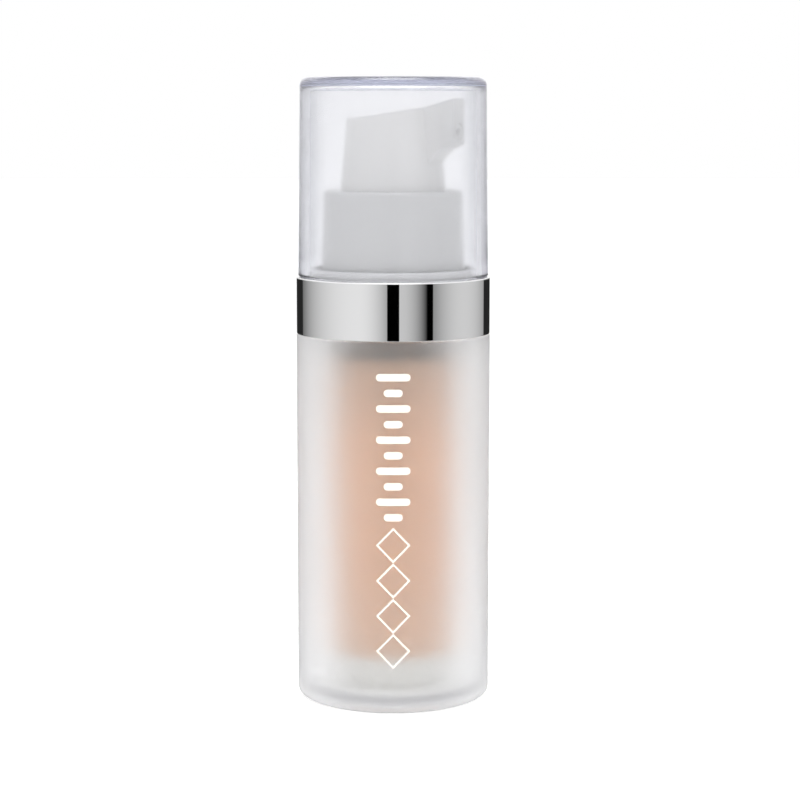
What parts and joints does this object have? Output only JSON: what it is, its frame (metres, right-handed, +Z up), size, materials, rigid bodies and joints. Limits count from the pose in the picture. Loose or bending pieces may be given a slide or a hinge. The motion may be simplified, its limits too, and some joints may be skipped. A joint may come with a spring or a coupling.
{
  "type": "foundation bottle",
  "caption": "Round double-walled airless foundation bottle with frosted shell, polished metal collar, white spout pump and hazy clear pull-off overcap.",
  "frame": {"origin": "centre of the bottle's base, on the surface it stands on", "axes": "+Z up along the bottle's axis; -Y is the printed front; the spout faces +X turned 30 degrees towards -Y"},
  "size_m": [0.0364, 0.0364, 0.1164],
  "materials": {
    "frosted_shell": "clear acrylic with a fine frosted outer face",
    "natural_pp": "natural translucent polypropylene, satin",
    "seal_pe": "soft white polyethylene",
    "foundation_cream": "thick peach-beige emulsion",
    "polished_band": "polished and clear-anodised",
    "ball_steel": "polished stainless ball",
    "spring_steel": "drawn stainless wire",
    "white_pp": "moulded white polypropylene, satin gloss",
    "cap_clear": "clear acrylic with a very faint cool tint and a satin inside"
  },
  "bodies": {
    "bottle": {"outer_bottle": "frosted_shell", "inner_bottle": "natural_pp", "inner_base": "natural_pp", "foundation_fill": "foundation_cream", "shoulder_ring": "white_pp", "collar_band": "polished_band", "neck_gasket": "seal_pe", "pump_housing": "natural_pp", "snap_turret": "white_pp", "stem_guide": "natural_pp", "return_spring": "spring_steel", "closure_sleeve": "white_pp"},
    "follower": {"follower_piston": "seal_pe"},
    "ball": {"inlet_ball": "ball_steel"},
    "plunger": {"pump_stem": "natural_pp", "valve_poppet": "natural_pp"},
    "seal": {"piston_seal": "seal_pe"},
    "press_head": {"pump_head": "white_pp", "nozzle_insert": "white_pp"},
    "cap": {"overcap": "cap_clear"}
  },
  "joints": [
    {"name": "cap_lift", "type": "slide", "parent": "bottle", "child": "cap", "axis": [0, 0, 1], "range_m": [0, 0.045]},
    {"name": "pump_press", "type": "slide", "parent": "bottle", "child": "plunger", "axis": [0, 0, 1], "range_m": [-0.0055, 0], "stiffness_N_per_m": 180, "springref_m": 0.002, "deforming": ["return_spring"]},
    {"name": "nozzle_swivel", "type": "hinge", "parent": "plunger", "child": "press_head", "pos_m": [0, 0, 0.1], "axis": [0, 0, 1], "continuous": true},
    {"name": "seal_shift", "type": "slide", "parent": "plunger", "child": "seal", "axis": [0, 0, 1], "range_m": [0, 0.0005]},
    {"name": "ball_lift", "type": "slide", "parent": "bottle", "child": "ball", "axis": [0, 0, 1], "range_m": [0, 0.001]},
    {"name": "follower_rise", "type": "slide", "parent": "bottle", "child": "follower", "axis": [0, 0, 1], "range_m": [0, 0.052], "deforming": ["foundation_fill"]}
  ]
}
